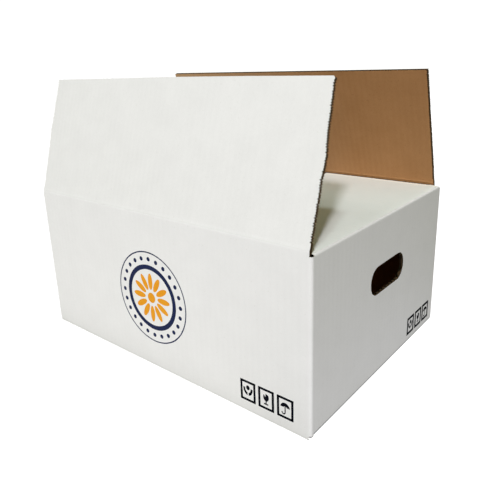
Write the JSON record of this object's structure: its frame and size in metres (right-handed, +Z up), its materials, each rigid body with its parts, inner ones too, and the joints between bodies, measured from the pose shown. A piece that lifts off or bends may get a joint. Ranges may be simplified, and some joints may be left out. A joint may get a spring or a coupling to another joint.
{
  "type": "corrugated box with hand holes",
  "caption": "Slotted corrugated carton with rounded hand holes in its ends, end flaps folded in and long top flaps that swing between closed and hanging open.",
  "frame": {"origin": "centre of the carton's footprint on the floor", "axes": "+Z up, +X along the length towards the end at the right of the picture, -Y towards the printed long wall at the front"},
  "size_m": [0.42, 0.3, 0.3312],
  "materials": {
    "board": "white lined outside, plain brown inside, matt"
  },
  "bodies": {
    "box": {"carton": "board"},
    "front": {"front_flap": "board"},
    "back": {"back_flap": "board"}
  },
  "joints": [
    {"name": "front_flap_fold", "type": "hinge", "parent": "box", "child": "front", "pos_m": [0, -0.15, 0.1922], "axis": [1, 0, 0], "range_deg": [-73, 187]},
    {"name": "back_flap_fold", "type": "hinge", "parent": "box", "child": "back", "pos_m": [0, 0.15, 0.1922], "axis": [-1, 0, 0], "range_deg": [-71.5, 188.5]}
  ]
}
